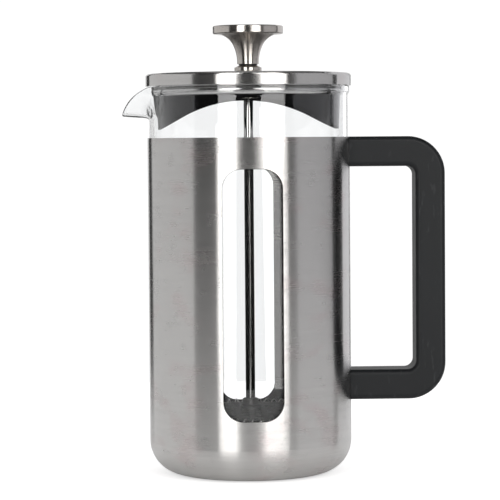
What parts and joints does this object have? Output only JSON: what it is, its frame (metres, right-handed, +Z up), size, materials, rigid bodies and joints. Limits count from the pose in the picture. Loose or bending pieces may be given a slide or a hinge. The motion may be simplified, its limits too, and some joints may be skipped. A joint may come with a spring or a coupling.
{
  "type": "french press",
  "caption": "Cafetiere with a windowed brushed steel shell, black loop handle, lift-out glass with a beak, turning lid and a plunger with a sprung mesh filter.",
  "frame": {"origin": "centre of the shell's flat base, on the axis of the shell, glass, lid and rod", "axes": "+Z up along the rod, +X towards the handle, -X towards the pouring beak; the windows face -Y and +Y"},
  "size_m": [0.165, 0.1056, 0.2296],
  "materials": {
    "shell_steel": "brushed round the body, clear satin",
    "lid_steel": "circular brushing on top, fine-brushed rim",
    "polished_steel": "bright polished",
    "turned_steel": "fine turned satin, slightly warm",
    "fixing_steel": "plain bright",
    "filter_steel": "pressed bright",
    "spring_wire": "drawn wire, bright",
    "woven_mesh": "fine plain weave",
    "glass": "clear, fire-polished rim",
    "handle_plastic": "fine moulded satin, near black",
    "bush_plastic": "natural nylon",
    "silicone": "soft black silicone",
    "insert_brass": "knurled brass"
  },
  "bodies": {
    "shell": {"outer_shell": "shell_steel", "base_cushion": "silicone", "handle": "handle_plastic", "handle_screw_upper": "fixing_steel", "handle_washer_upper": "fixing_steel", "handle_insert_upper": "insert_brass", "handle_screw_lower": "fixing_steel", "handle_washer_lower": "fixing_steel", "handle_insert_lower": "insert_brass"},
    "beaker": {"glass_beaker": "glass"},
    "guide": {"lid_ferrule": "turned_steel", "ferrule_washer": "fixing_steel", "ferrule_nut": "fixing_steel"},
    "lid": {"lid_cover": "lid_steel", "lid_pan": "polished_steel", "lid_skirt": "polished_steel", "lid_spacer": "bush_plastic"},
    "bush": {"rod_bush": "bush_plastic"},
    "plunger": {"plunger_rod": "polished_steel", "knob": "turned_steel", "knob_bumper": "silicone", "filter_collar": "filter_steel", "filter_plate": "filter_steel", "edge_spring": "spring_wire", "mesh_screen": "woven_mesh", "cross_plate": "filter_steel", "hub_nut": "filter_steel"}
  },
  "joints": [
    {"name": "beaker_lift", "type": "slide", "parent": "shell", "child": "beaker", "axis": [0, 0, 1], "range_m": [0, 0.18]},
    {"name": "lid_lift", "type": "slide", "parent": "beaker", "child": "guide", "axis": [0, 0, 1], "range_m": [0, 0.185]},
    {"name": "lid_turn", "type": "hinge", "parent": "guide", "child": "lid", "pos_m": [0, 0, 0.2], "axis": [0, 0, 1], "continuous": true},
    {"name": "plunger_turn", "type": "hinge", "parent": "guide", "child": "bush", "pos_m": [0, 0, 0.2], "axis": [0, 0, 1], "continuous": true},
    {"name": "plunger_lift", "type": "slide", "parent": "bush", "child": "plunger", "axis": [0, 0, 1], "range_m": [0, 0.14]}
  ]
}
